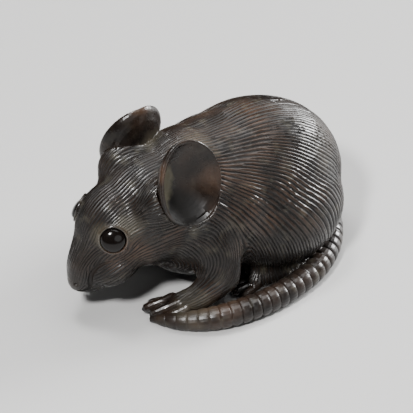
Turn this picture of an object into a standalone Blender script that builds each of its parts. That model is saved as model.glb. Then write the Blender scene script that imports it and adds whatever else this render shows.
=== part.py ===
"""A crouching mouse netsuke, carved from one block of dark wood, with two inlaid horn eyes.

The nose points to -Y, the mouse's left flank is +X, and it rests on its flat underside at z = 0.
The free form is laid out on the carver's grid, which has 49.6 parts from the nose to the rump.
"""

import math

import bmesh
import bpy
from mathutils import Matrix, Vector

# Driving sizes, in metres
LENGTH = 0.046                 # nose tip to the back of the rump
GRID = LENGTH / 49.6           # one part of the carver's grid
EYE_DIAMETER = 0.0036          # the horn inlay, across its seat
EYE_DEPTH = 0.0014             # how deep the inlay's plug is let in
EYE_DOME = 0.0013              # how far the inlay's dome stands out of its seat
INLAY_GAP = 0.0001             # all round the plug and under it
CORD_HOLE_WIDE = 0.0044        # the cord hole that takes the knot
CORD_HOLE_NARROW = 0.0032      # the cord hole that the cord comes out of
CORD_HOLE_SPACING = 0.0120     # between the centres of the two cord holes
CORD_TUNNEL_RISE = 0.0055      # from the underside to the crown of the tunnel between them

# How finely the form is cut
BODY_VOXEL = 0.5 * GRID
BODY_SMOOTHING = 12
BODY_TRIANGLES = 3900


def grid(x, y, z):
    """A place on the carver's grid, in metres."""
    return Vector((x, y, z)) * GRID


def add_mesh(name, shape, collection):
    mesh = bpy.data.meshes.new(name)
    shape.to_mesh(mesh)
    shape.free()
    thing = bpy.data.objects.new(name, mesh)
    collection.objects.link(thing)
    return thing


def finished(thing, name, collection):
    """The object as its modifiers leave it, as a plain mesh, with the old one removed."""
    depsgraph = bpy.context.evaluated_depsgraph_get()
    mesh = bpy.data.meshes.new_from_object(thing.evaluated_get(depsgraph))
    mesh.name = name
    made = bpy.data.objects.new(name, mesh)
    collection.objects.link(made)
    bpy.data.objects.remove(thing)
    return made


def combine(target, others, operation, name, collection):
    """Adds the other solids to the target, or cuts them out of it, and removes them."""
    for other in others:
        step = target.modifiers.new(operation.title(), "BOOLEAN")
        step.operation = operation
        step.solver = "EXACT"
        step.object = other
    made = finished(target, name, collection)
    for other in others:
        bpy.data.objects.remove(other)
    return made


def lump(shape, centre, radii, tilt=0.0, turn=0.0, segments=28):
    """Adds an egg-shaped lump. Tilt is about X and turn is about Z, in degrees."""
    place = (
        Matrix.Translation(grid(*centre))
        @ Matrix.Rotation(math.radians(turn), 4, "Z")
        @ Matrix.Rotation(math.radians(tilt), 4, "X")
        @ Matrix.Diagonal((radii[0] * GRID, radii[1] * GRID, radii[2] * GRID, 1))
    )
    bmesh.ops.create_uvsphere(shape, u_segments=segments, v_segments=segments // 2, radius=1, matrix=place)


def limb(shape, stations, balls=6):
    """A row of balls from station to station, each (x, y, z, radius), close enough to fuse."""
    for start, end in zip(stations[:-1], stations[1:]):
        for i in range(balls + 1):
            x, y, z, radius = (a + (b - a) * i / balls for a, b in zip(start, end))
            lump(shape, (x, y, z), (radius, radius, radius), segments=16)


def core_lumps():
    """The body, the head and the limbs, before the ears, tail and toes are added."""
    shape = bmesh.new()
    lump(shape, (0, 7.5, 13.0), (12.6, 15.6, 13.2), tilt=-8)
    lump(shape, (0, 1.0, 13.2), (12.2, 12.5, 12.8))
    lump(shape, (0, -4.0, 13.7), (11.2, 11.5, 12.5))
    lump(shape, (0, -11.5, 15.4), (8.7, 9.6, 9.4))
    lump(shape, (0, -17.6, 14.4), (6.6, 6.9, 7.8))
    lump(shape, (0, 3.0, 6.5), (9.5, 12.5, 8.2))
    limb(shape, [(0, -19.5, 12.8, 5.4), (0, -23.0, 9.2, 3.7), (0, -24.7, 7.0, 2.2)])
    lump(shape, (0, -21.8, 6.4), (2.6, 3.4, 2.2), tilt=30)
    for side in (1, -1):
        lump(shape, (side * 5.6, -12.7, 20.5), (3.4, 4.6, 4.8), tilt=-20)
        lump(shape, (side * 5.6, 8.6, 10.0), (9.2, 11.6, 9.9))
        lump(shape, (side * 2.9, -19.6, 10.6), (3.4, 5.0, 3.7), tilt=35)
        limb(shape, [(side * 8.0, -5.0, 11.5, 4.4), (side * 10.9, -5.4, 6.2, 3.0)])
        limb(shape, [(side * 10.9, -5.4, 6.2, 3.0), (side * 10.4, -9.4, 3.3, 2.3)])
        limb(shape, [(side * 10.4, -9.4, 3.3, 2.3), (side * 8.3, -12.9, 1.9, 1.7)])
        limb(shape, [(side * 11.6, 8.0, 2.0, 2.2), (side * 10.4, 1.0, 1.6, 1.6)])
    return shape


def fused(name, shape, collection):
    """Fuses overlapping lumps into one skin, rubs the creases down and thins the facets."""
    rough = add_mesh(name, shape, collection)
    remesh = rough.modifiers.new("Fuse", "REMESH")
    remesh.mode = "VOXEL"
    remesh.voxel_size = BODY_VOXEL
    smooth = rough.modifiers.new("Rub down", "SMOOTH")
    smooth.factor = 0.5
    smooth.iterations = BODY_SMOOTHING
    skin = finished(rough, name, collection)
    skin.data.calc_loop_triangles()
    thin = skin.modifiers.new("Thin", "DECIMATE")
    thin.ratio = min(1.0, BODY_TRIANGLES / len(skin.data.loop_triangles))
    return finished(skin, name, collection)


# The ears: upright dishes, hollow outwards
EAR_CENTRES = {1: (7.3, -9.4, 24.0), -1: (-7.3, -10.0, 23.4)}   # left and right
EAR_FACES = (0.96, -0.06, 0.26)
EAR_HALF_WIDTH = 5.5 * GRID
EAR_HALF_HEIGHT = 7.1 * GRID
EAR_HOLLOW = 2.3 * GRID
EAR_THICKNESS = 0.8 * GRID
EAR_SEGMENTS = 32


def ear_place(side, reach, angle, lift=0.0):
    """A place on the ear's dish: reach 0 is its middle, reach 1 its rim; lift is towards its opening."""
    facing = Vector(EAR_FACES).normalized()
    up = (Vector((0, 0, 1)) - facing * facing.z).normalized()
    back = up.cross(facing)
    flare = 0.5 * GRID * max(0.0, math.cos(angle)) * reach ** 3
    offset = (
        back * (EAR_HALF_WIDTH * reach * math.cos(angle) - 0.8 * GRID * (1 - reach))
        + up * (EAR_HALF_HEIGHT * reach * math.sin(angle) - 1.2 * GRID * (1 - reach))
        + facing * (flare + lift - EAR_HOLLOW * (1 - reach ** 2.4))
    )
    return grid(*EAR_CENTRES[side]) + Vector((side * offset.x, offset.y, offset.z))


def ear_rings(shape, side, reaches, lift=0.0):
    rings = []
    for reach in reaches:
        angles = [math.tau * k / EAR_SEGMENTS for k in range(EAR_SEGMENTS)]
        rings.append([shape.verts.new(ear_place(side, reach, angle, lift)) for angle in angles])
    return rings


def bridge(shape, low, high):
    for k in range(len(low)):
        after = (k + 1) % len(low)
        shape.faces.new((low[k], low[after], high[after], high[k]))


def ear(side, collection):
    """The dish of one ear, as thick as EAR_THICKNESS."""
    shape = bmesh.new()
    rings = ear_rings(shape, side, [0.12, 0.35, 0.55, 0.72, 0.87, 1.0])
    for low, high in zip(rings[:-1], rings[1:]):
        bridge(shape, low, high)
    shape.faces.new(list(reversed(rings[0])))
    bmesh.ops.recalc_face_normals(shape, faces=shape.faces)
    dish = add_mesh("ear_dish", shape, collection)
    shell = dish.modifiers.new("Thickness", "SOLIDIFY")
    shell.thickness = EAR_THICKNESS
    shell.offset = 0
    return finished(dish, "ear", collection)


def ear_hollow(side, collection):
    """What the carver cuts away in front of the dish, so that the ear stands clear of the head."""
    shape = bmesh.new()
    rings = ear_rings(shape, side, [0.12, 0.35, 0.55, 0.72, 0.87, 1.0])
    rings += ear_rings(shape, side, [1.06], 4 * GRID)
    for low, high in zip(rings[:-1], rings[1:]):
        bridge(shape, low, high)
    shape.faces.new(list(reversed(rings[0])))
    shape.faces.new(rings[-1])
    bmesh.ops.recalc_face_normals(shape, faces=shape.faces)
    return add_mesh("ear_hollow", shape, collection)


# The tail: a ringed cord that lies round the mouse's left side, each station (x, y, z, radius)
TAIL_ROUTE = (
    (-6.5, 13.0, 6.5, 2.2),
    (-3.6, 17.8, 4.2, 2.5),
    (0.5, 20.0, 3.0, 2.4),
    (5.2, 19.3, 2.2, 2.2),
    (9.9, 16.0, 1.95, 2.05),
    (13.5, 10.8, 1.95, 2.0),
    (15.3, 4.8, 1.95, 2.0),
    (15.8, -1.5, 1.95, 2.0),
    (15.0, -7.4, 1.9, 1.95),
    (13.3, -11.4, 1.6, 1.7),
    (10.9, -14.5, 1.25, 1.3),
    (7.8, -16.8, 0.7, 0.6),
)
TAIL_RING_PITCH = 1.65 * GRID
TAIL_CUTS = (0.90, 1.03, 1.03)   # the radius along one ring: its groove, then its band
TAIL_SIDES = 10


def tail_stations(spacing):
    """The tail's route, rounded through its stations and walked in even steps."""
    ends = [Vector(station) * GRID for station in TAIL_ROUTE]
    ends = [ends[0] * 2 - ends[1]] + ends + [ends[-1] * 2 - ends[-2]]
    fine = []
    for a, b, c, d in zip(ends, ends[1:], ends[2:], ends[3:]):
        for k in range(24):
            t = k / 24
            bend = (2 * a - 5 * b + 4 * c - d) * t * t + (3 * b - a - 3 * c + d) * t ** 3
            fine.append(0.5 * (2 * b + (c - a) * t + bend))
    fine.append(ends[-2])
    walked = [0.0]
    for a, b in zip(fine[:-1], fine[1:]):
        walked.append(walked[-1] + (b.xyz - a.xyz).length)
    count = round(walked[-1] / spacing)
    stations = []
    j = 0
    for i in range(count + 1):
        reach = walked[-1] * i / count
        while j < len(fine) - 2 and walked[j + 1] < reach:
            j += 1
        t = (reach - walked[j]) / (walked[j + 1] - walked[j])
        stations.append(fine[j].lerp(fine[j + 1], t))
    return stations


def tail(collection):
    shape = bmesh.new()
    stations = tail_stations(TAIL_RING_PITCH / len(TAIL_CUTS))
    rings = []
    for i, station in enumerate(stations):
        along = (stations[min(i + 1, len(stations) - 1)].xyz - stations[max(i - 1, 0)].xyz).normalized()
        side = along.cross(Vector((0, 0, 1))).normalized()
        up = side.cross(along)
        radius = station.w * TAIL_CUTS[i % len(TAIL_CUTS)]
        ring = []
        for k in range(TAIL_SIDES):
            angle = math.tau * k / TAIL_SIDES
            spoke = (side * math.cos(angle) + up * math.sin(angle)) * radius
            ring.append(shape.verts.new(station.xyz + spoke))
        rings.append(ring)
    for low, high in zip(rings[:-1], rings[1:]):
        bridge(shape, low, high)
    shape.faces.new(list(reversed(rings[0])))
    shape.faces.new(rings[-1])
    bmesh.ops.recalc_face_normals(shape, faces=shape.faces)
    return add_mesh("tail", shape, collection)


# The toes: knuckle, tip and radius of each toe on the left side
FORE_TOES = (
    ((7.3, -13.0, 1.7), (5.7, -16.2, 0.8), 0.75),
    ((8.0, -13.2, 1.8), (7.0, -16.5, 0.8), 0.8),
    ((8.8, -13.0, 1.7), (8.3, -15.9, 0.8), 0.8),
    ((9.6, -12.5, 1.5), (9.5, -14.9, 0.8), 0.75),
)
HIND_TOES = (
    ((9.6, 1.0, 1.2), (8.7, -2.0, 0.8), 0.8),
    ((10.4, 0.8, 1.3), (10.2, -2.6, 0.8), 0.8),
    ((11.3, 1.0, 1.2), (11.7, -2.0, 0.8), 0.8),
)


def toe(side, knuckle, tip, radius, collection):
    """One toe, a blunt rod with round ends."""
    start = grid(side * knuckle[0], knuckle[1], knuckle[2])
    end = grid(side * tip[0], tip[1], tip[2])
    along = (end - start).normalized()
    across = along.cross(Vector((0, 0, 1))).normalized()
    up = across.cross(along)
    profile = ((-0.6, 0.7), (0.0, 1.0), (1.0, 1.0), (1.45, 0.75))
    shape = bmesh.new()
    rings = []
    for reach, swell in profile:
        middle = start + (end - start) * min(max(reach, 0.0), 1.0)
        middle += along * radius * GRID * (min(reach, 0.0) + max(reach - 1.0, 0.0))
        ring = []
        for k in range(8):
            angle = math.tau * (k + 0.5) / 8
            spoke = (across * math.cos(angle) + up * math.sin(angle)) * radius * swell * GRID
            ring.append(shape.verts.new(middle + spoke))
        rings.append(ring)
    for low, high in zip(rings[:-1], rings[1:]):
        bridge(shape, low, high)
    shape.faces.new(list(reversed(rings[0])))
    shape.faces.new(rings[-1])
    bmesh.ops.recalc_face_normals(shape, faces=shape.faces)
    return add_mesh("toe", shape, collection)


# The eyes: each looks out along EYE_FACES from its seat
EYE_SEAT = (4.4, -21.2, 16.4)
EYE_FACES = (0.78, -0.45, 0.44)


def eye_frame(side):
    """The eye's seat and its own axes, with Z out of the head."""
    out = Vector((side * EYE_FACES[0], EYE_FACES[1], EYE_FACES[2])).normalized()
    turn = Vector((0, 0, 1)).rotation_difference(out).to_matrix().to_4x4()
    return Matrix.Translation(grid(side * EYE_SEAT[0], EYE_SEAT[1], EYE_SEAT[2])) @ turn


def turned_solid(name, profile, place, collection, segments=20):
    """A solid turned about its own Z from (radius, height) pairs, closed at both ends."""
    shape = bmesh.new()
    rings = []
    for radius, height in profile:
        angles = [math.tau * k / segments for k in range(segments)]
        rings.append([
            shape.verts.new(place @ Vector((radius * math.cos(a), radius * math.sin(a), height)))
            for a in angles
        ])
    for low, high in zip(rings[:-1], rings[1:]):
        bridge(shape, low, high)
    shape.faces.new(list(reversed(rings[0])))
    shape.faces.new(rings[-1])
    bmesh.ops.recalc_face_normals(shape, faces=shape.faces)
    return add_mesh(name, shape, collection)


def eye(name, side, collection):
    """The horn inlay: a round plug with a dome on it."""
    radius = EYE_DIAMETER / 2
    profile = [(radius, -EYE_DEPTH)]
    for i in range(5):
        angle = math.radians(80) * i / 4
        profile.append((radius * math.cos(angle), EYE_DOME * math.sin(angle)))
    return turned_solid(name, profile, eye_frame(side), collection)


def eye_socket(side, collection):
    radius = EYE_DIAMETER / 2 + INLAY_GAP
    profile = [(radius, -EYE_DEPTH - INLAY_GAP), (radius, 4 * GRID)]
    return turned_solid("eye_socket", profile, eye_frame(side), collection)


def cord_tunnel(collection):
    """The tunnel for the cord: in at the wide hole, over inside the belly, out at the narrow one."""
    crown = CORD_TUNNEL_RISE - CORD_HOLE_NARROW / 2
    middle = 1.0 * GRID
    stations = []
    for i in range(13):
        t = i / 12
        y = middle + CORD_HOLE_SPACING / 2 * math.cos(math.pi * t)
        z = crown * math.sin(math.pi * t)
        radius = (CORD_HOLE_WIDE + (CORD_HOLE_NARROW - CORD_HOLE_WIDE) * min(1.0, 2.5 * t)) / 2
        stations.append((y, z, radius))
    stations = [(stations[0][0], -GRID, stations[0][2])] + stations + [(stations[-1][0], -GRID, stations[-1][2])]
    shape = bmesh.new()
    rings = []
    for i, (y, z, radius) in enumerate(stations):
        before = stations[max(i - 1, 0)]
        after = stations[min(i + 1, len(stations) - 1)]
        along = Vector((0, after[0] - before[0], after[1] - before[1])).normalized()
        across = Vector((1, 0, 0))
        up = across.cross(along)
        ring = []
        for k in range(16):
            angle = math.tau * k / 16
            ring.append(shape.verts.new(
                Vector((0, y, z)) + (across * math.cos(angle) + up * math.sin(angle)) * radius
            ))
        rings.append(ring)
    for low, high in zip(rings[:-1], rings[1:]):
        bridge(shape, low, high)
    shape.faces.new(list(reversed(rings[0])))
    shape.faces.new(rings[-1])
    bmesh.ops.recalc_face_normals(shape, faces=shape.faces)
    return add_mesh("cord_tunnel", shape, collection)


def underside_block(collection):
    """Everything below z = 0, which is sawn off flat."""
    shape = bmesh.new()
    depth = 10 * GRID
    place = Matrix.Translation((0, 0, -depth / 2)) @ Matrix.Diagonal((2 * LENGTH, 2 * LENGTH, depth, 1))
    bmesh.ops.create_cube(shape, size=1, matrix=place)
    return add_mesh("underside_block", shape, collection)


def carve_mouse(collection):
    body = fused("mouse", core_lumps(), collection)
    body = combine(body, [ear_hollow(side, collection) for side in (1, -1)], "DIFFERENCE", "mouse", collection)
    added = [ear(side, collection) for side in (1, -1)]
    added.append(tail(collection))
    for side in (1, -1):
        for knuckle, tip, radius in FORE_TOES + HIND_TOES:
            added.append(toe(side, knuckle, tip, radius, collection))
    body = combine(body, added, "UNION", "mouse", collection)
    cut = [underside_block(collection), cord_tunnel(collection)]
    cut += [eye_socket(side, collection) for side in (1, -1)]
    return combine(body, cut, "DIFFERENCE", "mouse", collection)


def tidy_mesh(thing):
    """Drops the slivers that the cuts leave."""
    shape = bmesh.new()
    shape.from_mesh(thing.data)
    bmesh.ops.remove_doubles(shape, verts=shape.verts, dist=0.000001)
    bmesh.ops.dissolve_degenerate(shape, edges=shape.edges, dist=0.000001)
    bmesh.ops.triangulate(shape, faces=shape.faces)
    shape.to_mesh(thing.data)
    shape.free()


def finish(thing, name, colour, roughness):
    thing.name = name
    thing.data.name = name
    material = bpy.data.materials.new(name)
    material.use_nodes = True
    surface = material.node_tree.nodes["Principled BSDF"]
    surface.inputs["Base Color"].default_value = (*colour, 1)
    surface.inputs["Roughness"].default_value = roughness
    thing.data.materials.clear()
    thing.data.materials.append(material)
    thing.data.shade_smooth()
    thing.data.set_sharp_from_angle(angle=math.radians(40))


def centre_on_origin(things):
    """Moves the carving so that the middle of its outline stands over the origin."""
    corners = [vertex.co for thing in things for vertex in thing.data.vertices]
    middle_x = (min(c.x for c in corners) + max(c.x for c in corners)) / 2
    middle_y = (min(c.y for c in corners) + max(c.y for c in corners)) / 2
    for thing in things:
        thing.data.transform(Matrix.Translation((-middle_x, -middle_y, 0)))


for old in list(bpy.data.objects):
    bpy.data.objects.remove(old)
netsuke = bpy.data.collections.new("mouse_netsuke")
bpy.context.scene.collection.children.link(netsuke)
mouse = carve_mouse(netsuke)
tidy_mesh(mouse)
eye_left = eye("eye_left", 1, netsuke)
eye_right = eye("eye_right", -1, netsuke)
centre_on_origin([mouse, eye_left, eye_right])
finish(mouse, "mouse", (0.035, 0.024, 0.018), 0.4)
finish(eye_left, "eye_left", (0.006, 0.005, 0.005), 0.08)
finish(eye_right, "eye_right", (0.006, 0.005, 0.005), 0.08)
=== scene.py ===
"""A crouching mouse netsuke, carved from one block of dark wood, with two inlaid horn eyes.

The nose points to -Y, the mouse's left flank is +X, and it rests on its underside at z = 0.
The carving is laid out on the carver's grid, which has 49.6 parts from the nose to the rump.
"""

import math

import bmesh
import bpy
import numpy as np
from mathutils import Matrix, Vector, noise
from mathutils.bvhtree import BVHTree


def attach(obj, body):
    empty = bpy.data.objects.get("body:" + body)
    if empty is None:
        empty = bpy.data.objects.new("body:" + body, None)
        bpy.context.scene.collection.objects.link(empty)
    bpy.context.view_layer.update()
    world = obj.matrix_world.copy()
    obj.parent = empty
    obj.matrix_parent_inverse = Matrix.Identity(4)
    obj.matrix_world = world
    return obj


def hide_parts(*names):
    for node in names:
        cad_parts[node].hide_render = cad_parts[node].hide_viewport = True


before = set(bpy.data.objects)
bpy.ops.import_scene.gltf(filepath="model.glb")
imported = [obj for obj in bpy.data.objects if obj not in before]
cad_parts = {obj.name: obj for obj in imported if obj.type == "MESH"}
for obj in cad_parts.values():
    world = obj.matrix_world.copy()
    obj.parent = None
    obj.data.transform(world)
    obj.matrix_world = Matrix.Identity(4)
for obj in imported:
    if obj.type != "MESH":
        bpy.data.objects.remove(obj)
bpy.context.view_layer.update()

# THE MOUSE'S BODY, HEAD AND LIMBS
# The mouse is one block of dense dark wood. The carver roughs it out in rounded lumps, then
# files and rubs the creases between them down until one skin flows from the snout to the rump.

GRID = 0.046 / 49.6
CENTRING = Vector((-0.0014667, 0.0017865, 0.0))   # from the carver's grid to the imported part
FORM_VOXEL = 0.5
FORM_RUBBING = 12
SKIN_VOXEL = 0.74
HEAD_STARTS = -18.5


def lump(shape, centre, radii, tilt=0.0, segments=28):
    place = (
        Matrix.Translation(centre)
        @ Matrix.Rotation(math.radians(tilt), 4, "X")
        @ Matrix.Diagonal((*radii, 1))
    )
    bmesh.ops.create_uvsphere(
        shape, u_segments=segments, v_segments=segments // 2, radius=1, matrix=place)


def limb(shape, stations, balls=6):
    for start, end in zip(stations[:-1], stations[1:]):
        for i in range(balls + 1):
            x, y, z, radius = (a + (b - a) * i / balls for a, b in zip(start, end))
            lump(shape, (x, y, z), (radius, radius, radius), segments=16)


def thing_of(name, shape):
    """A bmesh, laid out on the carver's grid, as an object in the scene."""
    mesh = bpy.data.meshes.new(name)
    shape.to_mesh(mesh)
    shape.free()
    thing = bpy.data.objects.new(name, mesh)
    bpy.context.scene.collection.objects.link(thing)
    return thing


def settled(thing):
    """The object with its modifiers worked into its mesh."""
    depsgraph = bpy.context.evaluated_depsgraph_get()
    mesh = bpy.data.meshes.new_from_object(thing.evaluated_get(depsgraph))
    thing.modifiers.clear()
    thing.data = mesh
    return thing


def rough_form():
    shape = bmesh.new()
    lump(shape, (0, 7.5, 13.0), (12.6, 15.6, 13.2), tilt=-8)
    lump(shape, (0, 1.0, 13.2), (12.2, 12.5, 12.8))
    lump(shape, (0, -4.0, 13.7), (11.2, 11.5, 12.5))
    lump(shape, (0, -11.5, 15.4), (8.7, 9.6, 9.4))
    lump(shape, (0, -17.6, 14.4), (6.6, 6.9, 7.8))
    lump(shape, (0, 3.0, 6.5), (9.5, 12.5, 8.2))
    limb(shape, [(0, -19.5, 12.8, 5.4), (0, -23.0, 9.2, 3.7), (0, -24.7, 7.0, 2.2)])
    lump(shape, (0, -21.8, 6.4), (2.6, 3.4, 2.2), tilt=30)
    for side in (1, -1):
        lump(shape, (side * 5.6, -12.7, 20.5), (3.4, 4.6, 4.8), tilt=-20)
        lump(shape, (side * 5.6, 8.6, 10.0), (9.2, 11.6, 9.9))
        lump(shape, (side * 2.9, -19.6, 10.6), (3.4, 5.0, 3.7), tilt=35)
        limb(shape, [(side * 8.0, -5.0, 11.5, 4.4), (side * 10.9, -5.4, 6.2, 3.0)])
        limb(shape, [(side * 10.9, -5.4, 6.2, 3.0), (side * 10.4, -9.4, 3.3, 2.3)])
        limb(shape, [(side * 10.4, -9.4, 3.3, 2.3), (side * 8.3, -12.9, 1.9, 1.7)])
        limb(shape, [(side * 11.6, 8.0, 2.0, 2.2), (side * 10.4, 1.0, 1.6, 1.6)])
    form = thing_of("rough_form", shape)
    fuse = form.modifiers.new("Fuse", "REMESH")
    fuse.mode = "VOXEL"
    fuse.voxel_size = FORM_VOXEL
    rub = form.modifiers.new("Rub down", "SMOOTH")
    rub.factor = 0.5
    rub.iterations = FORM_RUBBING
    return settled(form)


def even_skin(form):
    """An even net of small faces on the rubbed form, finer over the head."""
    skin = bpy.data.objects.new("mouse_carving", form.data.copy())
    bpy.context.scene.collection.objects.link(skin)
    net = skin.modifiers.new("Net", "REMESH")
    net.mode = "VOXEL"
    net.voxel_size = SKIN_VOXEL
    settled(skin)
    shape = bmesh.new()
    shape.from_mesh(skin.data)
    head = [e for e in shape.edges if all(v.co.y < HEAD_STARTS for v in e.verts)]
    bmesh.ops.subdivide_edges(shape, edges=head, cuts=1, use_grid_fill=True)
    shape.to_mesh(skin.data)
    shape.free()
    lay = skin.modifiers.new("Lay on", "SHRINKWRAP")
    lay.target = form
    lay.wrap_method = "NEAREST_SURFACEPOINT"
    return settled(skin)


form = rough_form()
mouse = even_skin(form)
form_tree = BVHTree.FromObject(form, bpy.context.evaluated_depsgraph_get())


# THE EARS
# Each ear is an upright dish of the same wood, thin as a leaf, hollow outwards and rounded
# over at its rim. Its front edge rolls in, and the head is cut away in front of it.

EAR_CENTRES = {1: (7.3, -9.4, 24.0), -1: (-7.3, -10.0, 23.4)}
EAR_FACES = (0.96, -0.06, 0.26)
EAR_HALF_WIDTH = 5.5
EAR_HALF_HEIGHT = 7.1
EAR_HOLLOW = 2.3
EAR_BOWL = 2.4            # the higher, the flatter the bottom of the hollow
EAR_FLARE = 0.5           # how far the back edge turns outwards
EAR_LEANS = (0.8, 1.2)    # how far the deepest place lies forwards and down
EAR_THICKNESS = 0.8
EAR_FRONT_ROLL = (0.6, 1.0)    # how much thicker the rim is along its front edge, and how far it rolls in
EAR_FOOT_SINKS = (0.12, 0.45)  # how much thinner the rim is at its foot, and how far it sinks
EAR_SEGMENTS = 72


def ear_place(side, reach, angle, lift=0.0):
    """A place on the ear's dish: reach 0 is its middle, reach 1 its rim, and lift is outwards."""
    facing = Vector(EAR_FACES).normalized()
    up = (Vector((0, 0, 1)) - facing * facing.z).normalized()
    back = up.cross(facing)
    flare = EAR_FLARE * max(0.0, math.cos(angle)) * reach ** 3
    offset = (
        back * (EAR_HALF_WIDTH * reach * math.cos(angle) - EAR_LEANS[0] * (1 - reach))
        + up * (EAR_HALF_HEIGHT * reach * math.sin(angle) - EAR_LEANS[1] * (1 - reach))
        + facing * (flare + lift - EAR_HOLLOW * (1 - reach ** EAR_BOWL))
    )
    return Vector(EAR_CENTRES[side]) + Vector((side * offset.x, offset.y, offset.z))


def bridge(shape, low, high):
    for k in range(len(low)):
        after = (k + 1) % len(low)
        shape.faces.new((low[k], low[after], high[after], high[k]))


def lofted(name, rings):
    """A closed solid through rings of places."""
    shape = bmesh.new()
    rows = [[shape.verts.new(place) for place in ring] for ring in rings]
    for low, high in zip(rows[:-1], rows[1:]):
        bridge(shape, low, high)
    shape.faces.new(list(reversed(rows[0])))
    shape.faces.new(rows[-1])
    bmesh.ops.recalc_face_normals(shape, faces=shape.faces)
    return thing_of(name, shape)


def ear_front(angle):
    """1 along the front edge of the ear, fading to 0 at its top, back and foot."""
    return max(0.0, math.cos(angle - 0.98 * math.pi)) ** 1.3


def ear_foot(angle):
    """1 at the foot of the ear, where its rim sinks into the head."""
    return max(0.0, -math.sin(angle)) ** 2


def ear(side):
    angles = [math.tau * k / EAR_SEGMENTS for k in range(EAR_SEGMENTS)]
    half = EAR_THICKNESS / 2
    rings = []
    for reach in (0.06, 0.2, 0.34, 0.47, 0.59, 0.7, 0.79, 0.87):
        rings.append([ear_place(side, reach, a, half - 0.1 * (1 - reach)) for a in angles])
    for turn in range(0, 190, 20):
        ring = []
        for a in angles:
            bead = half + 0.02 + EAR_FRONT_ROLL[0] * ear_front(a) - EAR_FOOT_SINKS[0] * ear_foot(a)
            across = math.sin(math.radians(turn)) * bead
            lift = math.cos(math.radians(turn)) * bead
            lift = lift + EAR_FRONT_ROLL[1] * ear_front(a) - EAR_FOOT_SINKS[1] * ear_foot(a)
            ring.append(ear_place(side, 1.0 - (bead - across) / 6.0, a, lift))
        rings.append(ring)
    for reach in (0.8, 0.66, 0.5, 0.35, 0.2, 0.06):
        rings.append([ear_place(side, reach, a, -half) for a in angles])
    return lofted("ear", rings)


def ear_hollow(side):
    angles = [math.tau * k / EAR_SEGMENTS for k in range(EAR_SEGMENTS)]
    reaches = (0.12, 0.35, 0.55, 0.72, 0.87, 1.0)
    rings = [[ear_place(side, reach, a) for a in angles] for reach in reaches]
    rings.append([ear_place(side, 1.06, a, 4.0) for a in angles])
    return lofted("ear_hollow", rings)


# THE TAIL
# The tail is carved in the round where it lies along the mouse's left side, with a ring cut
# round it every millimetre and a half, and it thins to its tip beside the left fore paw.

TAIL_ROUTE = (
    (-6.5, 13.0, 6.5, 2.2),
    (-3.6, 17.8, 4.2, 2.5),
    (0.5, 20.0, 3.0, 2.4),
    (5.2, 19.3, 2.2, 2.2),
    (9.9, 16.0, 1.95, 2.05),
    (13.5, 10.8, 1.95, 2.0),
    (15.3, 4.8, 1.95, 2.0),
    (15.8, -1.5, 1.95, 2.0),
    (15.0, -7.4, 1.9, 1.95),
    (13.3, -11.4, 1.6, 1.7),
    (10.9, -14.5, 1.25, 1.3),
    (7.8, -16.8, 0.7, 0.6),
)
TAIL_RING_PITCH = 1.65
TAIL_RING = (0.86, 0.97, 1.0, 1.014, 1.02, 1.02, 1.014, 1.0, 0.97)   # along one ring, from its cut
TAIL_TIP_CRISP = 0.4
TAIL_SIDES = 24


def tail_stations(spacing):
    """The tail's route, rounded through its stations and walked in even steps."""
    ends = [Vector(station) for station in TAIL_ROUTE]
    ends = [ends[0] * 2 - ends[1]] + ends + [ends[-1] * 2 - ends[-2]]
    fine = []
    for a, b, c, d in zip(ends, ends[1:], ends[2:], ends[3:]):
        for k in range(24):
            t = k / 24
            bend = (2 * a - 5 * b + 4 * c - d) * t * t + (3 * b - a - 3 * c + d) * t ** 3
            fine.append(0.5 * (2 * b + (c - a) * t + bend))
    fine.append(ends[-2])
    walked = [0.0]
    for a, b in zip(fine[:-1], fine[1:]):
        walked.append(walked[-1] + (b.xyz - a.xyz).length)
    count = round(walked[-1] / spacing)
    stations = []
    j = 0
    for i in range(count + 1):
        reach = walked[-1] * i / count
        while j < len(fine) - 2 and walked[j + 1] < reach:
            j += 1
        t = (reach - walked[j]) / (walked[j + 1] - walked[j])
        stations.append(fine[j].lerp(fine[j + 1], t))
    return stations


def ring_round(middle, across, up, radius, sides):
    """Places in a ring round the middle."""
    turns = [math.tau * k / sides for k in range(sides)]
    return [middle + (across * math.cos(turn) + up * math.sin(turn)) * radius for turn in turns]


def tail():
    stations = tail_stations(TAIL_RING_PITCH / len(TAIL_RING))
    rings = []
    for i, station in enumerate(stations):
        before, after = stations[max(i - 1, 0)], stations[min(i + 1, len(stations) - 1)]
        along = (after.xyz - before.xyz).normalized()
        side = along.cross(Vector((0, 0, 1))).normalized()
        up = side.cross(along)
        crisp = min(1.0, max(TAIL_TIP_CRISP, (station.y + 15) / 12))   # the cuts get shallower to the tip
        radius = station.w * (1 + (TAIL_RING[i % len(TAIL_RING)] - 1) * crisp)
        rings.append(ring_round(station.xyz, side, up, radius, TAIL_SIDES))
    return lofted("tail", rings)


# THE PAWS
# The toes are short rods of the same wood, parted with a V tool and laid flat on the
# underside, four on each fore paw and three on each hind paw, each with a small nail.

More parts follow.
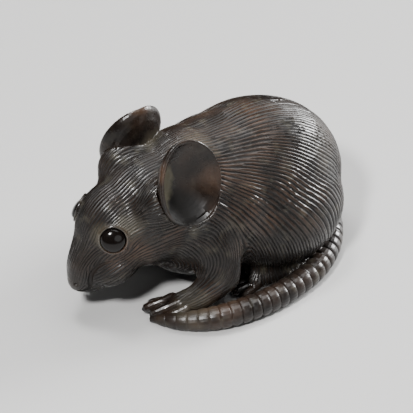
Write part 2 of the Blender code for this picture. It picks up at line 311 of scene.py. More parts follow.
FORE_TOES = (
    ((6.5, -12.4, 1.7), (4.8, -15.1, 0.85), 0.62),
    ((7.5, -12.8, 2.7), (5.8, -16.6, 1.1), 0.80),
    ((9.2, -12.8, 2.8), (7.7, -16.4, 1.3), 0.82),
    ((10.5, -12.3, 2.3), (9.4, -15.2, 1.1), 0.78),
)
HIND_TOES = (
    ((9.6, 1.0, 1.2), (8.7, -2.0, 0.8), 0.8),
    ((10.4, 0.8, 1.3), (10.2, -2.6, 0.8), 0.8),
    ((11.3, 1.0, 1.2), (11.7, -2.0, 0.8), 0.8),
)
TOE_PROFILE = (   # from inside the paw, over two knuckles, to the nail: the place along the toe and its swell
    (-1.3, 0.5), (-0.7, 0.9), (0.0, 1.05), (0.32, 0.93), (0.62, 1.03),
    (0.85, 0.98), (1.0, 0.85), (1.4, 0.6), (1.75, 0.42), (2.1, 0.12),
)
NAIL_LENGTH = 0.62   # of the toe's radius, for each unit of the profile past the tip


def toe(side, knuckle, tip, radius):
    start = Vector((side * knuckle[0], knuckle[1], knuckle[2]))
    end = Vector((side * tip[0], tip[1], tip[2]))
    along = (end - start).normalized()
    across = along.cross(Vector((0, 0, 1))).normalized()
    up = across.cross(along)
    rings = []
    for reach, swell in TOE_PROFILE:
        middle = start + (end - start) * min(max(reach, 0.0), 1.0)
        middle += along * radius * (min(reach, 0.0) + max(reach - 1.0, 0.0) * NAIL_LENGTH)
        spokes = ring_round(Vector(), across, up, radius, 16)
        rings.append([middle + spoke * swell for spoke in spokes])
    return lofted("toe", rings)


# THE FACE
# The lids are raised rings left standing round the eye sockets. The mouth is one V cut that
# turns down at its corner, and the nostrils are pricked in with a pointed tool.

EYE_SEAT = (4.4, -21.2, 16.4)
EYE_FACES = (0.78, -0.45, 0.44)
EYE_RADIUS = 0.0018 / GRID
SOCKET_GAP = 0.0001 / GRID
SOCKET_DEPTH = 0.0015 / GRID
CLEAR_OF_HEAD = 4.0       # a height over the eye's seat that is well outside the head
LID_REACH = 2.17
LID_THICKNESS = 0.19
LID_STANDS = 0.12
MOUTH = (
    (0.0, -26.3, 5.4),
    (1.4, -25.6, 5.9),
    (2.4, -24.5, 6.6),
    (2.8, -24.6, 8.0),
    (3.0, -24.7, 9.4),
    (3.2, -24.4, 10.4),
    (3.6, -23.8, 11.5),
    (4.2, -22.9, 12.3),
    (5.0, -21.8, 12.8),
)
MOUTH_RADIUS = 0.44
NOSTRIL = (1.3, -26.3, 7.5)
NOSTRIL_RADII = (0.12, 0.4, 0.62)   # at its bottom, under the skin and at its opening


def eye_frame(side):
    """The eye's seat and its own axes, with Z out of the head."""
    out = Vector((side * EYE_FACES[0], EYE_FACES[1], EYE_FACES[2])).normalized()
    turn = Vector((0, 0, 1)).rotation_difference(out).to_matrix().to_4x4()
    return Matrix.Translation((side * EYE_SEAT[0], EYE_SEAT[1], EYE_SEAT[2])) @ turn


def circle_at(place, radius, height):
    """Places in a circle about the axis of the eye, at a height over its seat."""
    turns = [math.tau * k / 48 for k in range(48)]
    return [place @ Vector((radius * math.cos(turn), radius * math.sin(turn), height)) for turn in turns]


def tube(name, places, radii, sides=14, closed=False):
    """A rod through the places, as thick at each as its radius."""
    rings = []
    count = len(places)
    for i, place in enumerate(places):
        before = places[i - 1] if closed or i else place
        after = places[(i + 1) % count] if closed or i < count - 1 else place
        along = (after - before).normalized()
        across = along.cross(Vector((0.31, 0.17, 0.93))).normalized()
        up = across.cross(along)
        rings.append(ring_round(place, across, up, radii[i], sides))
    if not closed:
        return lofted(name, rings)
    shape = bmesh.new()
    rows = [[shape.verts.new(place) for place in ring] for ring in rings]
    for i, low in enumerate(rows):
        bridge(shape, low, rows[(i + 1) % count])
    bmesh.ops.recalc_face_normals(shape, faces=shape.faces)
    return thing_of(name, shape)


def lid(side):
    place = eye_frame(side)
    out = place.to_3x3() @ Vector((0, 0, 1))
    places = []
    for start in circle_at(place, LID_REACH, CLEAR_OF_HEAD):
        hit = form_tree.ray_cast(start, -out)[0]
        places.append(hit + out * LID_STANDS)
    return tube("lid", places, [LID_THICKNESS] * len(places), closed=True)


def socket(side):
    place = eye_frame(side)
    radius = EYE_RADIUS + SOCKET_GAP
    return lofted("socket", [circle_at(place, radius, height) for height in (-SOCKET_DEPTH, CLEAR_OF_HEAD)])


def mouth(side):
    corners = [Vector((side * x, y, z)) for x, y, z in MOUTH]
    places = []
    for a, b in zip(corners[:-1], corners[1:]):
        for k in range(4):
            places.append(form_tree.find_nearest(a.lerp(b, k / 4))[0])
    places.append(form_tree.find_nearest(corners[-1])[0])
    for _ in range(3):
        places = [places[0]] + [
            (a + b * 2 + c) / 4 for a, b, c in zip(places, places[1:], places[2:])
        ] + [places[-1]]
    last = len(places) - 1
    radii = [MOUTH_RADIUS * min(1.0, 0.2 + 2.2 * (1 - i / last)) for i in range(last + 1)]
    return tube("mouth", places, radii, sides=10)


def nostril(side):
    seat, out = form_tree.find_nearest(Vector((side * NOSTRIL[0], NOSTRIL[1], NOSTRIL[2])))[:2]
    places = [seat - out * 0.5, seat - out * 0.1, seat + out * 0.6]
    return tube("nostril", places, NOSTRIL_RADII, sides=14)


# THE UNDERSIDE AND THE CORD HOLES
# The underside is sawn flat and rubbed on a stone. Two holes run into one curved tunnel
# inside the belly: the wide one takes the knot, and the cord comes out of the narrow one.

CORD_HOLE_WIDE = 4.4
CORD_HOLE_NARROW = 3.2
CORD_HOLE_SPACING = 12.0
CORD_TUNNEL_RISE = 5.5
CORD_TUNNEL_MIDDLE = 1.0    # along the belly, in parts of the grid
CORD_TUNNEL_NARROWS = 2.5   # how soon it narrows on the way from the wide hole to the other
SAW_BLOCK = (90, 90, 10)    # what is sawn off under the mouse


def cord_tunnel():
    millimetre = 0.001 / GRID
    crown = (CORD_TUNNEL_RISE - CORD_HOLE_NARROW / 2) * millimetre
    stations = []
    for i in range(25):
        t = i / 24
        y = CORD_TUNNEL_MIDDLE + CORD_HOLE_SPACING / 2 * millimetre * math.cos(math.pi * t)
        z = crown * math.sin(math.pi * t)
        wide = CORD_HOLE_WIDE + (CORD_HOLE_NARROW - CORD_HOLE_WIDE) * min(1.0, CORD_TUNNEL_NARROWS * t)
        stations.append((y, z, wide / 2 * millimetre))
    (first_y, _, first_radius), (last_y, _, last_radius) = stations[0], stations[-1]
    stations = [(first_y, -1.0, first_radius)] + stations + [(last_y, -1.0, last_radius)]
    rings = []
    for i, (y, z, radius) in enumerate(stations):
        before = stations[max(i - 1, 0)]
        after = stations[min(i + 1, len(stations) - 1)]
        along = Vector((0, after[0] - before[0], after[1] - before[1])).normalized()
        across = Vector((1, 0, 0))
        up = across.cross(along)
        rings.append(ring_round(Vector((0, y, z)), across, up, radius, 32))
    return lofted("cord_tunnel", rings)


def underside_block():
    shape = bmesh.new()
    under = Matrix.Translation((0, 0, -SAW_BLOCK[2] / 2))
    bmesh.ops.create_cube(shape, size=1, matrix=under @ Matrix.Diagonal((*SAW_BLOCK, 1)))
    return thing_of("underside_block", shape)


# THE WOOD
# A dense near-black wood, oiled and rubbed. Years of handling have worn its high places
# browner and glossier, and a little pale dust has stayed in the cuts. The bottoms of the cuts
# and the feet of the ears are darkened with painted shade, and the pale mark down the left ear's
# front fold and the worn colour of the left cheek are partly painted highlights.

WOOD_DARK = (0.0046, 0.0034, 0.0028)
WOOD_WARM = (0.0165, 0.0104, 0.0074)
# worn brown, and on the left cheek partly a painted highlight
WOOD_WORN_AND_SHEEN = (0.055, 0.031, 0.019)
# pale dust, and down the left ear's front fold partly a painted highlight
DUST_AND_SHEEN = (0.100, 0.091, 0.064)
# painted shade: the colour that the bottoms of the hair cuts are darkened towards
GROOVE_PAINTED_SHADE = (0.0022, 0.0018, 0.0015)
PORE_DEPTH = 0.00004


def wood(name, gloss, dusty, shine=0.32):
    """Gloss is how rough the rubbed wood is, dusty how pale it has grown and shine how it mirrors."""
    material = bpy.data.materials.new(name)
    material.use_nodes = True
    nodes = material.node_tree.nodes
    link = material.node_tree.links.new
    surface = nodes["Principled BSDF"]
    place = nodes.new("ShaderNodeTexCoord")

    def mottle(scale, stretch, detail, low, high):
        """A soft pattern in the wood, from 0 to 1 between its low and high marks."""
        lay = nodes.new("ShaderNodeMapping")
        lay.inputs["Scale"].default_value = stretch
        link(place.outputs["Object"], lay.inputs["Vector"])
        pattern = nodes.new("ShaderNodeTexNoise")
        pattern.inputs["Scale"].default_value = scale
        pattern.inputs["Detail"].default_value = detail
        link(lay.outputs["Vector"], pattern.inputs["Vector"])
        clear = nodes.new("ShaderNodeMapRange")
        clear.inputs["From Min"].default_value = low
        clear.inputs["From Max"].default_value = high
        link(pattern.outputs["Fac"], clear.inputs["Value"])
        return clear.outputs["Result"]

    def mixed(amount, under, over):
        mix = nodes.new("ShaderNodeMix")
        mix.data_type = "RGBA"
        link(amount, mix.inputs["Factor"])
        for socket, colour in ((mix.inputs[6], under), (mix.inputs[7], over)):
            if isinstance(colour, tuple):
                socket.default_value = (*colour, 1)
            else:
                link(colour, socket)
        return mix.outputs[2]

    def worked(kind, a, b):
        sum_node = nodes.new("ShaderNodeMath")
        sum_node.operation = kind
        sum_node.use_clamp = True
        for socket, value in zip(sum_node.inputs, (a, b)):
            if isinstance(value, float):
                socket.default_value = value
            else:
                link(value, socket)
        return sum_node.outputs[0]

    # Painted shade: the cut attribute darkens the colour towards the bottom of each hair cut and in the feet
    # of the ears, and makes it rougher there.
    cut = nodes.new("ShaderNodeAttribute")
    cut.attribute_name = "cut"
    # Worn brown on the high places; on the left cheek the worn colour is partly a painted highlight on the
    # hair lines.
    worn = nodes.new("ShaderNodeAttribute")
    worn.attribute_name = "worn"
    blotches = mottle(260, (1, 1, 1), 5, 0.38, 0.68)
    streaks = mottle(900, (1, 0.16, 1), 6, 0.35, 0.7)
    worn_pattern = worked("ADD", blotches, worked("MULTIPLY", streaks, 0.5))
    worn_and_sheen_through = worked("MULTIPLY", worn.outputs["Fac"], worn_pattern)
    colour = mixed(worked("MULTIPLY", blotches, 0.9), WOOD_DARK, WOOD_WARM)
    colour = mixed(worn_and_sheen_through, colour, WOOD_WORN_AND_SHEEN)
    shade = nodes.new("ShaderNodeMapRange")
    shade.interpolation_type = "SMOOTHSTEP"
    shade.inputs["From Min"].default_value = 0.2
    shade.inputs["From Max"].default_value = 0.7
    link(cut.outputs["Fac"], shade.inputs["Value"])
    in_cut = shade.outputs["Result"]
    colour = mixed(worked("MULTIPLY", in_cut, 0.95), colour, GROOVE_PAINTED_SHADE)
    # Pale dust all over and in places; down the front fold of the left ear the pale mark is partly a painted
    # highlight.
    dust_and_sheen = nodes.new("ShaderNodeAttribute")
    dust_and_sheen.attribute_name = "dust_and_sheen"
    dust_all_over = worked("MULTIPLY", mottle(620, (1, 1, 1), 5, 0.55, 0.8), dusty)
    dust_and_sheen_in_places = worked("MULTIPLY", dust_and_sheen.outputs["Fac"], worked("ADD", blotches, 0.4))
    dust_and_sheen_marks = worked("ADD", dust_all_over, dust_and_sheen_in_places)
    colour = mixed(dust_and_sheen_marks, colour, DUST_AND_SHEEN)
    link(colour, surface.inputs["Base Color"])
    surface.inputs["Specular IOR Level"].default_value = shine
    rough = worked("ADD", worked("MULTIPLY", mottle(480, (1, 1, 1), 4, 0.3, 0.75), 0.16), gloss)
    rough = worked("ADD", rough, worked("MULTIPLY", in_cut, 0.35))
    rough = worked("ADD", rough, worked("MULTIPLY", dust_and_sheen.outputs["Fac"], 0.25))
    link(rough, surface.inputs["Roughness"])
    pores = nodes.new("ShaderNodeBump")
    pores.inputs["Strength"].default_value = 0.25
    pores.inputs["Distance"].default_value = PORE_DEPTH
    long_pores = mottle(2600, (1, 0.12, 1), 4, 0.3, 0.7)
    rubbed_dents = mottle(700, (1, 1, 1), 3, 0.3, 0.7)
    link(worked("ADD", long_pores, rubbed_dents), pores.inputs["Height"])
    link(pores.outputs["Normal"], surface.inputs["Normal"])
    return material


fur_wood = wood("wood_with_fur", 0.2, 0.25)
ear_wood = wood("wood_of_ears", 0.21, 0.08, 0.24)
tail_wood = wood("wood_of_tail", 0.27, 0.3)
toe_wood = wood("wood_of_toes", 0.17, 0.08, 0.55)
lid_wood = wood("wood_of_lids", 0.1, 0.3, 0.6)
cut_wood = wood("wood_of_cuts", 0.45, 0.3, 0.25)


def carve(target, tools, operation, finish):
    """Joins the solids to the target, or cuts them out of it; the new faces take the finish."""
    for tool in tools:
        tool.data.materials.append(finish)
        step = target.modifiers.new(tool.name, "BOOLEAN")
        step.operation = operation
        step.solver = "EXACT"
        step.material_mode = "TRANSFER"
        step.object = tool
    settled(target)
    for tool in tools:
        bpy.data.objects.remove(tool)


mouse.data.materials.append(fur_wood)
carve(mouse, [ear_hollow(side) for side in (1, -1)], "DIFFERENCE", ear_wood)
carve(mouse, [ear(side) for side in (1, -1)], "UNION", ear_wood)
carve(mouse, [tail()], "UNION", tail_wood)
toes = [toe(side, *sizes) for side in (1, -1) for sizes in FORE_TOES + HIND_TOES]
carve(mouse, toes, "UNION", toe_wood)
carve(mouse, [lid(side) for side in (1, -1)], "UNION", lid_wood)
cuts = [underside_block(), cord_tunnel()]
cuts += [socket(side) for side in (1, -1)]
cuts += [mouth(side) for side in (1, -1)]
cuts += [nostril(side) for side in (1, -1)]
carve(mouse, cuts, "DIFFERENCE", cut_wood)
bpy.data.objects.remove(form)


# THE FUR
# The coat is cut hair by hair with a fine V tool, in lines that start at the snout, part round
# the ears and fan out over the flanks. Where the lines drift apart a new one starts between.

HAIR_FLOW = (   # a place on the left side, the way the hair lies there, and the line spacing
    ((0, -26, 9), (0, 0.5, 0.85), 0.38),
    ((3, -22, 11), (0.4, 0.8, 0.5), 0.46),
    ((3.8, -23.3, 12.4), (0.27, 0.8, 0.55), 0.42),
    ((3.5, -20, 18.5), (0.1, 1, 0.35), 0.43),
    ((5, -20.5, 19.5), (0.1, 1, 0.4), 0.43),
    ((4.6, -18.2, 20), (0.11, 0.9, 0.4), 0.45),
    ((6, -19.3, 12.1), (0.29, 0.9, 0.33), 0.56),
    ((5.9, -18.8, 15), (0.25, 0.95, 0.2), 0.54),
    ((6.8, -17.6, 13), (0.26, 0.94, 0.2), 0.58),
    ((7.9, -15, 16.2), (0.2, 1, 0.05), 0.56),
    ((8.5, -11.7, 16.2), (-0.15, 1, -0.35), 0.56),
    ((0, -21, 20), (0, 1, 0.5), 0.44),
    ((2.3, -14.8, 23.7), (-0.08, 0.98, 0.33), 0.47),
    ((0, -12, 23), (0, 1, 0.15), 0.47),
    ((0, -4, 25.5), (0.12, 1, 0.15), 0.50),
    ((5, 2, 25), (0.12, 1, -0.05), 0.57),
    ((9, 4, 22), (0.45, 0.9, -0.4), 0.62),
    ((9.6, -2.3, 20), (0.53, 0.72, -0.55), 0.62),
    ((11.4, 0.3, 17), (0.42, 0.64, -0.8), 0.66),
    ((12.6, 5.5, 17), (0.42, 0.64, -0.95), 0.66),
    ((13, 0, 14), (0.15, 0.6, -0.85), 0.66),
    ((13, 10, 17), (0.4, 1, -1.25), 0.66),
    ((14.5, 10, 12), (0.2, 0.55, -1), 0.66),
    ((15, 8, 8), (0, 0.25, -1), 0.62),
    ((13, 16, 13), (0.1, 0.25, -1), 0.60),
    ((9.6, 16, 16.9), (-0.1, 0.67, -0.72), 0.60),
    ((8, 20, 13), (0, 0.1, -1), 0.60),
    ((0, 8, 26.5), (0, 1, -0.05), 0.58),
    ((0, 14, 24), (0, 1, -0.35), 0.60),
    ((6, 15, 22), (0.3, 0.9, -0.5), 0.62),
    ((0, 19, 18), (0, 0.6, -0.8), 0.60),
    ((0, 21, 12), (0, 0.1, -1), 0.58),
    ((8, -9, 12), (0.1, 0.5, -0.85), 0.54),
    ((11.4, -7.2, 12.5), (0.05, 0.15, -1), 0.54),
    ((11.6, -2.7, 12.6), (0, 0.2, -1), 0.56),
    ((12.8, -6.2, 9), (-0.14, -0.5, -0.9), 0.52),
    ((11.5, -4, 8), (0, -0.25, -1), 0.54),
    ((12.3, -8.7, 5.8), (-0.2, -0.9, -0.4), 0.54),
    ((10.5, -8, 5), (-0.2, -0.8, -0.6), 0.54),
    ((9, -12, 3), (-0.25, -0.95, -0.25), 0.50),
    ((0, -14, 7), (0, 1, 0), 0.80),
    ((0, -10, 3), (0, 1, 0), 0.80),
)
FLOW_REACH = 2.4              # how far a flow mark rules alone, in parts of the grid
DRIFT_ALLOWED = 0.15          # how much the spacing counts against the way the hair lies
GROOVE_DEPTH = 0.40           # parts of the distance from line to line
FINEST = 1024                 # the finest part of a line spacing that the cuts may be laid on
SPACING_LIMITS = (0.26, 60)   # the least and the most spacing, in times the flow mark's
CREST_RUBBED = 0.02           # how far even the crests are rubbed down, as a part of the depth
LINE_WOBBLE = 0.13            # how far a line strays, as a part of the spacing
LINE_SNAP = 0.15              # how near to a cut a corner of the net is laid on it
FIELD_PASSES = 700            # the most passes that the line field is worked over
FIELD_SETTLED = 1e-10         # how little may still be wrong in it when the work stops


def flow_at(places, normals):
    """The way the hair lies and its spacing at each place, blended from the nearest flow marks."""
    marks = []
    for place, way, pitch in HAIR_FLOW:
        for side in (1, -1) if place[0] else (1,):
            marks.append((side * place[0], place[1], place[2], side * way[0], way[1], way[2], pitch))
    marks = np.array(marks)
    ways = marks[:, 3:6] / np.linalg.norm(marks[:, 3:6], axis=1)[:, None]
    apart = ((places[:, None, :] - marks[None, :, :3]) ** 2).sum(axis=2)
    weight = 1.0 / (apart + FLOW_REACH ** 2) ** 2
    weight /= weight.sum(axis=1)[:, None]
    way = weight @ ways
    way -= normals * (way * normals).sum(axis=1)[:, None]
    way /= np.maximum(np.linalg.norm(way, axis=1), 1e-6)[:, None]
    return way, weight @ marks[:, 6]


def line_count_field(places, faces):
    """A number at each place that stays the same along a hair line and grows across the lines."""
    a, b, c = (places[faces[:, k]] for k in range(3))
    across = np.cross(b - a, c - a)
    double = np.maximum(np.linalg.norm(across, axis=1), 1e-9)
    out = across / double[:, None]
    slopes = np.stack([np.cross(out, c - b), np.cross(out, a - c), np.cross(out, b - a)], axis=1)
    slopes /= double[:, None, None]
    way, pitch = flow_at((a + b + c) / 3, out)
    climb = np.cross(out, way)
    turned_up = np.clip((out[:, 2] + 0.75) / 0.6, 0.03, 1.0)
    off_the_ground = np.clip(((a + b + c)[:, 2] / 3 - 0.5) / 2.0, 0.03, 1.0)
    area = double / 2 * (turned_up * off_the_ground)   # what nobody sees hardly bends the lines

    def gathered(per_face):
        parts = np.einsum("fij,fj->fi", slopes, per_face * area[:, None])
        return np.bincount(faces.ravel(), parts.ravel(), minlength=len(places))

    def weighed(push):
        along = (push * way).sum(axis=1)[:, None] * way
        return along + DRIFT_ALLOWED * (push * climb).sum(axis=1)[:, None] * climb

    def slope_of(values):
        return np.einsum("fij,fi->fj", slopes, values[faces])

    stiffness = np.einsum("fij,fij->fi", slopes, slopes) * area[:, None]
    scale = np.bincount(faces.ravel(), stiffness.ravel(), minlength=len(places))
    scale = np.where(scale > 0, scale, 1.0)
    field = np.zeros(len(places))
    rest = gathered(weighed(climb * (1 / pitch)[:, None]))
    step = rest / scale
    mark = (rest * step).sum()
    for _ in range(FIELD_PASSES):
        push = gathered(weighed(slope_of(step)))
        ratio = mark / max((step * push).sum(), 1e-30)
        field += ratio * step
        rest -= ratio * push
        eased = rest / scale
        following = (rest * eased).sum()
        if following < FIELD_SETTLED:
            break
        step = eased + following / mark * step
        mark = following
    steepness = np.linalg.norm(slope_of(field), axis=1)
    return field, steepness, pitch


def smooth_step(value, low, high):
    t = min(1.0, max(0.0, (value - low) / (high - low)))
    return t * t * (3 - 2 * t)


BARE_UNDERSIDE = (0.6, 1.6)   # the wood is bare up to the first mark, and the coat is whole from the second
BARE_NOSE = (-26.8, -25.4)
BARE_LIDS = (2.35, 2.75)
BARE_PAWS = (1.6, 3.2)
PAW_MIDDLE = (8.2, -13.8, 1.5)
eye_looks = {side: eye_frame(side).inverted() for side in (1, -1)}


def coat_fade(place):
    """How deep the hair lines go at a place: 0 where the wood is left smooth, 1 in the coat."""
    fade = smooth_step(place.z, *BARE_UNDERSIDE) * smooth_step(place.y, *BARE_NOSE)
    for side in (1, -1):
        from_eye = eye_looks[side] @ place
        if from_eye.z > -3:
            fade *= smooth_step(from_eye.xy.length, *BARE_LIDS)
        paw = place - Vector((side * PAW_MIDDLE[0], PAW_MIDDLE[1], PAW_MIDDLE[2]))
        fade *= smooth_step(paw.length, *BARE_PAWS)
    return fade


def line_order(drift):
    """The order of the hair lines at a place, and how far the next order has started there."""
    order = math.floor(drift)
    return order, smooth_step(drift - order, 0.3, 0.75)


def cuts_per_line(drift):
    """How many cuts are laid on one unit of the field, from bottom to crest of the finest lines."""
    order, started = line_order(drift)
    return 2 ** (order + 1 + (1 if started > 0 else 0))


def ridge(value):
    """1 at the bottom of a hair line, 0 on the crest between two."""
    return 1 - 2 * abs(value - math.floor(value + 0.5))


def groove_depth(value, drift, point):
    """How deep the wood is cut at a value of the field, from 0 to 1, with the unevenness of each stroke."""
    order, started = line_order(drift)
    deep = ridge(value * 2.0 ** order) * (1 - started) + ridge(value * 2.0 ** (order + 1)) * started
    stroke = 0.9 + 0.4 * noise.noise(Vector((point.x * 0.2, (point.y + point.z) * 0.2, value * 23.7)))
    return max(CREST_RUBBED, deep) * min(1.0, stroke)


def is_bottom(value, drift):
    """Whether a value of the field is the bottom of a hair line, where the V tool leaves it sharp."""
    order, started = line_order(drift)
    finer = order + 1 if started > 0.3 else order
    return ridge(value * 2.0 ** finer) == 1


WORN_AND_SHEEN_PLACES = (   # where hands have worn the wood brown, and on the left cheek partly a painted highlight: the place, its reach and how strong
    ((1.5, -4.5, 24.5), 4.5, 0.9),
    ((6.5, -3.5, 22.5), 3.5, 0.7),
    ((0.5, 5.5, 26.6), 7.0, 0.75),
    ((7.0, 4.0, 23.5), 6.0, 0.5),
    ((11.5, 2.0, 18.5), 7.0, 0.75),
    ((13.0, 9.0, 14.5), 5.0, 0.5),
    # the left cheek: brown wear, and a lighter colour that is partly a painted highlight on the hair lines
    ((6.4, -18.6, 13.6), 5.0, 0.9),
    ((8.2, -14.0, 15.6), 3.5, 0.8),
    ((8.0, -14.5, 2.6), 3.0, 0.3),
    ((5.0, 17.0, 18.5), 5.0, 0.4),
    ((11.0, -4.0, 9.5), 4.0, 0.4),
    ((7.2, -9.5, 31.2), 1.8, 1.0),
    ((7.4, -14.2, 28.0), 2.0, 0.8),
    ((-7.2, -9.6, 30.2), 2.6, 0.9),
    ((13.0, -8.0, 1.6), 6.0, 0.55),
    ((-7.0, 2.0, 24.0), 6.0, 0.5),
    ((-12.5, 6.0, 15.0), 5.0, 0.4),
)
DUST_AND_SHEEN_PLACES = (   # where pale dust has stayed, and down the front fold of the left ear partly a painted highlight: the place, its reach and how strong
    ((3.6, -22.6, 17.0), 2.4, 0.3),
    ((5.6, -19.0, 18.2), 2.6, 0.3),
    ((-5.2, -8.6, 22.6), 3.4, 0.4),
    ((2.0, -4.6, 24.6), 3.6, 0.3),
    # down the front fold of the left ear: pale dust and a painted highlight on the fold
    ((5.2, -11.9, 26.2), 1.1, 1.0),
    ((5.3, -11.9, 25.0), 1.3, 2.6),
    ((5.6, -12.1, 23.6), 1.3, 2.2),
    ((6.1, -12.4, 22.2), 1.2, 2.6),
    ((6.9, -13.3, 20.9), 0.8, 2.0),
    ((11.5, -11.0, 2.2), 4.0, 0.3),
    ((9.0, 17.0, 20.0), 4.5, 0.2),
)
PAINTED_SHADE_IN_EAR_FEET = (   # painted shade: where the wood is darkened and dulled in the foot of each ear
    ((7.2, -10.6, 18.4), 5.0, 1.0),
    ((-7.2, -11.2, 17.8), 5.0, 1.0),
)
WEAR_SPREAD = 0.6   # below 1 the marks are strong nearly up to their reach


def wear_at(place, marks):
    """How far the wood is worn, dusty or darkened with painted shade at a place; some worn and dusty marks
    are partly painted highlights.
    """
    worn = 0.0
    for centre, reach, strength in marks:
        near = 1 - (place - Vector(centre)).length / reach
        if near > 0:
            worn = max(worn, strength * near ** WEAR_SPREAD)
    return worn


# The joined carving as plain lists: its corners, its triangles and the finish of each.
shape = bmesh.new()
shape.from_mesh(mouse.data)
bmesh.ops.remove_doubles(shape, verts=shape.verts, dist=0.002)
bmesh.ops.dissolve_degenerate(shape, edges=shape.edges, dist=0.002)
bmesh.ops.triangulate(shape, faces=shape.faces)
shape.verts.index_update()
shape.normal_update()
finishes = list(mouse.data.materials)
fur_slot = finishes.index(fur_wood)
places = np.array([v.co for v in shape.verts])
triangles = np.array([[v.index for v in f.verts] for f in shape.faces])
slots = [f.material_index for f in shape.faces]
furry = np.array([slot == fur_slot for slot in slots])
smooth_skin = []
for v in shape.verts:
    near = [f.normal * f.calc_area() for f in v.link_faces if f.material_index == fur_slot]
    smooth_skin.append(sum(near, Vector()).normalized() if near else v.normal.copy())
at_edge = [any(f.material_index != fur_slot for f in v.link_faces) for v in shape.verts]
shape.free()
fur_faces = triangles[furry]
field, steepness, pitch = line_count_field(places, fur_faces)

# How far the lines have drifted from the wanted spacing, in doublings, evened out over the skin.
drift = np.log2(np.clip(1 / (steepness * pitch), *SPACING_LIMITS))
share = np.bincount(fur_faces.ravel(), minlength=len(places)).clip(1)
drifts = np.bincount(fur_faces.ravel(), np.repeat(drift, 3), minlength=len(places)) / share
widths = np.bincount(fur_faces.ravel(), np.repeat(pitch, 3), minlength=len(places)) / share
for _ in range(4):
    drift = drifts[fur_faces].mean(axis=1)
    drifts = np.bincount(fur_faces.ravel(), np.repeat(drift, 3), minlength=len(places)) / share

# The line field with the small wobble of a hand. A corner close to a cut is laid on it.
values = []
for i, value in enumerate(field):
    value += LINE_WOBBLE * noise.noise(Vector(places[i]) * 0.3) / 2 ** drifts[i]
    cuts = cuts_per_line(drifts[i])
    if abs(value * cuts - round(value * cuts)) < LINE_SNAP:
        value = round(value * cuts) / cuts
    values.append(value)


def ends_of(a, b):
    return (a, b) if a < b else (b, a)


# New points where the cuts cross the edges of the coat.
points = [Vector(place) for place in places]
skins = list(smooth_skin)
drifts = list(drifts)
widths = list(widths)
fades = [0.0 if touching else 1.0 for touching in at_edge]
furry_edges = {}
for triangle in fur_faces:
    for k in range(3):
        furry_edges[ends_of(int(triangle[k]), int(triangle[(k + 1) % 3]))] = []
for (a, b), crossings in furry_edges.items():
    cuts = max(cuts_per_line(drifts[a]), cuts_per_line(drifts[b]))
    low, high = sorted((values[a] * cuts, values[b] * cuts))
    found = range(math.floor(low) + 1, math.ceil(high))
    if values[a] > values[b]:
        found = reversed(found)
    for j in found:
        t = (j / cuts - values[a]) / (values[b] - values[a])
        crossings.append(len(points))
        points.append(points[a].lerp(points[b], t))
        skins.append(skins[a].lerp(skins[b], t).normalized())
        values.append(j / cuts)
        for row in (drifts, widths, fades):
            row.append(row[a] + (row[b] - row[a]) * t)

# Each triangle of the coat is sliced along its cuts.
polygons = []
polygon_slots = []
for triangle, slot, has_fur in zip(triangles, slots, furry):
    outline = []
    for k in range(3):
        a, b = int(triangle[k]), int(triangle[(k + 1) % 3])
        outline.append(a)
        crossings = furry_edges.get(ends_of(a, b), [])
        outline += crossings if a < b else reversed(crossings)
    if len(outline) == 3:
        polygons.append(tuple(outline))
        polygon_slots.append(slot)
    elif has_fur:
        codes = [values[i] * FINEST for i in outline]
        whole = [code for code in codes if code == int(code)]
        splits = sorted({code for code in whole if whole.count(code) == 2})
        bounds = [-math.inf] + splits + [math.inf]
        for low, high in zip(bounds[:-1], bounds[1:]):
            ring = [i for i, code in zip(outline, codes) if low <= code <= high]
            if len(ring) > 2:
                polygons.append(tuple(ring))
                polygon_slots.append(slot)
    else:
        middle = len(points)
        points.append(sum((points[i] for i in triangle), Vector()) / 3)
        skins.append(sum((skins[i] for i in triangle), Vector()).normalized())
        values.append(0.5)
        drifts.append(0.0)
        widths.append(0.6)
        fades.append(0.0)
        for i, after in zip(outline, outline[1:] + outline[:1]):
            polygons.append((i, after, middle))
            polygon_slots.append(slot)

# Each point sinks into the wood by the depth of its cut, and goes from the grid to metres.
cut_depth = [
    groove_depth(value, far, point) * fade * coat_fade(point) if fade else 0.0
    for value, far, point, fade in zip(values, drifts, points, fades)
]
carved = [
    (point - skin * (GROOVE_DEPTH * wide * depth)) * GRID + CENTRING
    for point, skin, depth, wide in zip(points, skins, cut_depth, widths)
]
mesh = bpy.data.meshes.new("mouse_carving")
mesh.from_pydata(carved, [], polygons)
mesh.polygons.foreach_set("material_index", polygon_slots)
for finish in finishes:
    mesh.materials.append(finish)
# The cut attribute: the depth of each hair cut, and painted shade in the feet of the ears.
dark = [
    depth if fade else max(depth, wear_at(point, PAINTED_SHADE_IN_EAR_FEET))
    for depth, point, fade in zip(cut_depth, points, fades)
]
mesh.attributes.new("cut", "FLOAT", "POINT").data.foreach_set("value", dark)
for kind, marks in (("worn", WORN_AND_SHEEN_PLACES), ("dust_and_sheen", DUST_AND_SHEEN_PLACES)):
    worn_by_point = [wear_at(point, marks) for point in points]
    mesh.attributes.new(kind, "FLOAT", "POINT").data.foreach_set("value", worn_by_point)
mouse.data = mesh
mesh.shade_smooth()
mesh.validate()
at_bottom = [is_bottom(value, far) for value, far in zip(values, drifts)]
sharp = [
    at_bottom[a] and at_bottom[b] and values[a] == values[b]
    for a, b in (edge.vertices for edge in mesh.edges)
]
mesh.attributes.new("sharp_edge", "BOOLEAN", "EDGE").data.foreach_set("value", sharp)

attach(mouse, "root")
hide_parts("mouse")

# THE EYES
# Each eye is a round plug of black horn, let into its socket and polished to a dome.

EYE_PLUG = 0.0014 / GRID    # how deep the plug goes in
EYE_DOME = 0.0013 / GRID
EYE_SHOULDER = 0.45
HORN_BLACK = (0.0022, 0.0018, 0.0018, 1)
HORN_BROWN = (0.0065, 0.0042, 0.0030, 1)

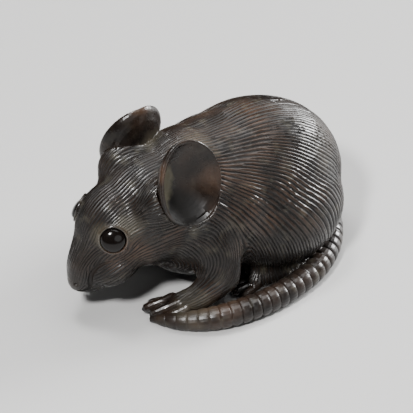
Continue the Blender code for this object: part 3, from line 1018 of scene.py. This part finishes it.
horn = bpy.data.materials.new("horn")
horn.use_nodes = True
surface = horn.node_tree.nodes["Principled BSDF"]
surface.inputs["Specular IOR Level"].default_value = 0.24
clouds = horn.node_tree.nodes.new("ShaderNodeTexNoise")
clouds.inputs["Scale"].default_value = 1500
clouds.inputs["Detail"].default_value = 4
tint = horn.node_tree.nodes.new("ShaderNodeValToRGB")
tint.color_ramp.elements[0].position = 0.4
tint.color_ramp.elements[0].color = HORN_BLACK
tint.color_ramp.elements[1].position = 0.75
tint.color_ramp.elements[1].color = HORN_BROWN
polish = horn.node_tree.nodes.new("ShaderNodeMapRange")
polish.inputs["To Min"].default_value = 0.10
polish.inputs["To Max"].default_value = 0.16
horn.node_tree.links.new(clouds.outputs["Fac"], tint.inputs["Fac"])
horn.node_tree.links.new(clouds.outputs["Fac"], polish.inputs["Value"])
horn.node_tree.links.new(tint.outputs["Color"], surface.inputs["Base Color"])
horn.node_tree.links.new(polish.outputs["Result"], surface.inputs["Roughness"])

for name, side in (("left", 1), ("right", -1)):
    profile = [(EYE_RADIUS, -EYE_PLUG), (EYE_RADIUS, EYE_SHOULDER)]
    for i in range(1, 16):
        angle = math.radians(88) * i / 15
        height = EYE_SHOULDER + (EYE_DOME - EYE_SHOULDER) * math.sin(angle)
        profile.append((EYE_RADIUS * math.cos(angle), height))
    place = eye_frame(side)
    bead = lofted("eye_bead_" + name, [
        [spot * GRID + CENTRING for spot in circle_at(place, radius, height)]
        for radius, height in profile
    ])
    bead.data.shade_smooth()
    bead.data.materials.append(horn)
    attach(bead, "root")
    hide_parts("eye_" + name)

# THE FLOOR, THE LIGHTS AND THE CAMERA
# The netsuke stands on a plain pale floor under soft studio light, seen from its left and above.

FLOOR_GREY = (0.37, 0.367, 0.362, 1)

floor_mesh = bpy.data.meshes.new("floor")
floor_mesh.from_pydata([(-2, -2, 0), (2, -2, 0), (2, 2, 0), (-2, 2, 0)], [], [(0, 1, 2, 3)])
floor = bpy.data.objects.new("floor", floor_mesh)
bpy.context.scene.collection.objects.link(floor)
floor_finish = bpy.data.materials.new("floor")
floor_finish.use_nodes = True
surface = floor_finish.node_tree.nodes["Principled BSDF"]
surface.inputs["Base Color"].default_value = FLOOR_GREY
surface.inputs["Roughness"].default_value = 0.6
floor_mesh.materials.append(floor_finish)

CAMERA_AZIMUTH = math.radians(56)
CAMERA_ELEVATION = math.radians(39)
CAMERA_DISTANCE = 0.38
PIXELS_PER_PART = 6.2
FRAME_PIXELS = 413
ORIGIN_PIXEL = (212, 256)   # where the origin of the carver's grid lies in the frame
back = Vector((
    math.sin(CAMERA_AZIMUTH) * math.cos(CAMERA_ELEVATION),
    -math.cos(CAMERA_AZIMUTH) * math.cos(CAMERA_ELEVATION),
    math.sin(CAMERA_ELEVATION),
))
right = Vector((math.cos(CAMERA_AZIMUTH), math.sin(CAMERA_AZIMUTH), 0))
up = back.cross(right)
half_frame = FRAME_PIXELS / 2
aside = right * (half_frame - ORIGIN_PIXEL[0]) - up * (half_frame - ORIGIN_PIXEL[1])
target = CENTRING + aside / PIXELS_PER_PART * GRID
camera_data = bpy.data.cameras.new("camera")
camera_data.lens = camera_data.sensor_width / 2 * CAMERA_DISTANCE / (half_frame / PIXELS_PER_PART * GRID)
camera_data.clip_start = 0.001
camera = bpy.data.objects.new("camera", camera_data)
turned = Matrix((right, up, back)).transposed().to_4x4()
camera.matrix_world = Matrix.Translation(target + back * CAMERA_DISTANCE) @ turned
bpy.context.scene.collection.objects.link(camera)
bpy.context.scene.camera = camera


LIT_MIDDLE = (0, 0, 0.012)   # what the lights point at


def softbox(name, place, size, power):
    light = bpy.data.lights.new(name, "AREA")
    light.shape = "ELLIPSE"
    light.size, light.size_y = size
    light.energy = power
    lamp = bpy.data.objects.new(name, light)
    lamp.location = place
    lamp.rotation_euler = (Vector(LIT_MIDDLE) - Vector(place)).to_track_quat("-Z", "Y").to_euler()
    bpy.context.scene.collection.objects.link(lamp)


softbox("sky", (0.0, 0.14, 0.46), (0.40, 0.34), 1.9)
softbox("overhead", (-0.10, -0.03, 0.45), (0.12, 0.10), 1.6)
softbox("window", (0.03, 0.50, 0.17), (0.24, 0.16), 8.5)
softbox("front", (0.16, -0.27, 0.41), (0.07, 0.07), 5.0)
softbox("side", (0.48, -0.02, 0.22), (0.40, 0.30), 0.5)
world = bpy.data.worlds.new("studio")
world.use_nodes = True
world.node_tree.nodes["Background"].inputs["Color"].default_value = (0.95, 0.97, 1.0, 1)
world.node_tree.nodes["Background"].inputs["Strength"].default_value = 0.04
bpy.context.scene.world = world
